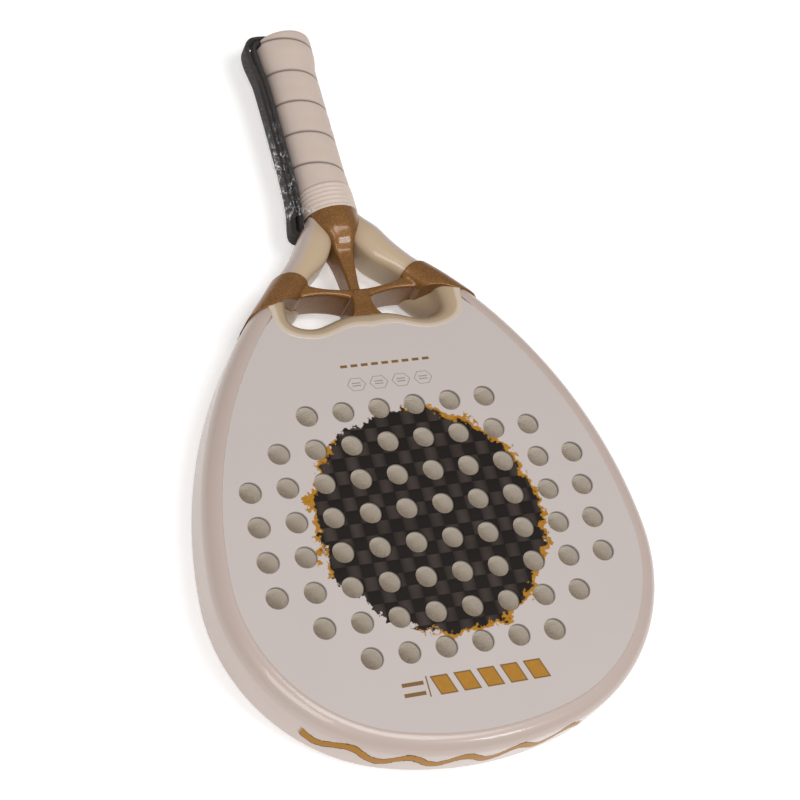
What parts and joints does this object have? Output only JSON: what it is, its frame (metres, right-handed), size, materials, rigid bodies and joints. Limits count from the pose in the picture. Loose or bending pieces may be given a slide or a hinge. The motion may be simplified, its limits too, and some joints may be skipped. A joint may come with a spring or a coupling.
{
  "type": "padel racket",
  "caption": "Teardrop padel racket with a drilled face, braced open throat, wound grip and a wrist strap held along the handle under a clear film.",
  "frame": {"origin": "middle of the underside of the racket's box, with the racket lying on its back face", "axes": "+X to the right, +Y from the tip of the head to the butt of the handle, +Z out of the front face"},
  "size_m": [0.258, 0.455, 0.038],
  "materials": {
    "pearl_paint": "glossy pearl white lacquer over carbon tube",
    "face_paint": "matte white paint over woven carbon skin, with a bare woven window",
    "beige_paint": "glossy beige lacquer",
    "bronze_paint": "metallic bronze flake lacquer",
    "foam": "closed-cell foam",
    "pallet_foam": "hard moulded foam",
    "grip_band": "soft cushion band with darker overlap seams",
    "collar_rubber": "soft ribbed rubber",
    "white_tape": "thin adhesive tape",
    "black_plastic": "moulded nylon",
    "black_webbing": "woven polyester webbing",
    "staple_steel": "zinc plated wire",
    "clear_film": "thin clear shrink film with wrinkles"
  },
  "bodies": {
    "root": {"rim_tube": "pearl_paint", "arm_left": "beige_paint", "arm_right": "beige_paint", "bridge": "beige_paint", "foam_core": "foam", "face_front": "face_paint", "face_back": "face_paint", "crossbar": "bronze_paint", "strut": "bronze_paint", "yoke": "bronze_paint", "cap_left": "bronze_paint", "cap_right": "bronze_paint", "pallet_front": "pallet_foam", "pallet_back": "pallet_foam", "grip_staple": "staple_steel", "grip_wrap": "grip_band", "finishing_tape": "white_tape", "collar": "collar_rubber", "butt_cap": "black_plastic", "strap_knot": "black_webbing", "wrist_strap": "black_webbing", "shrink_film": "clear_film"}
  },
  "joints": []
}
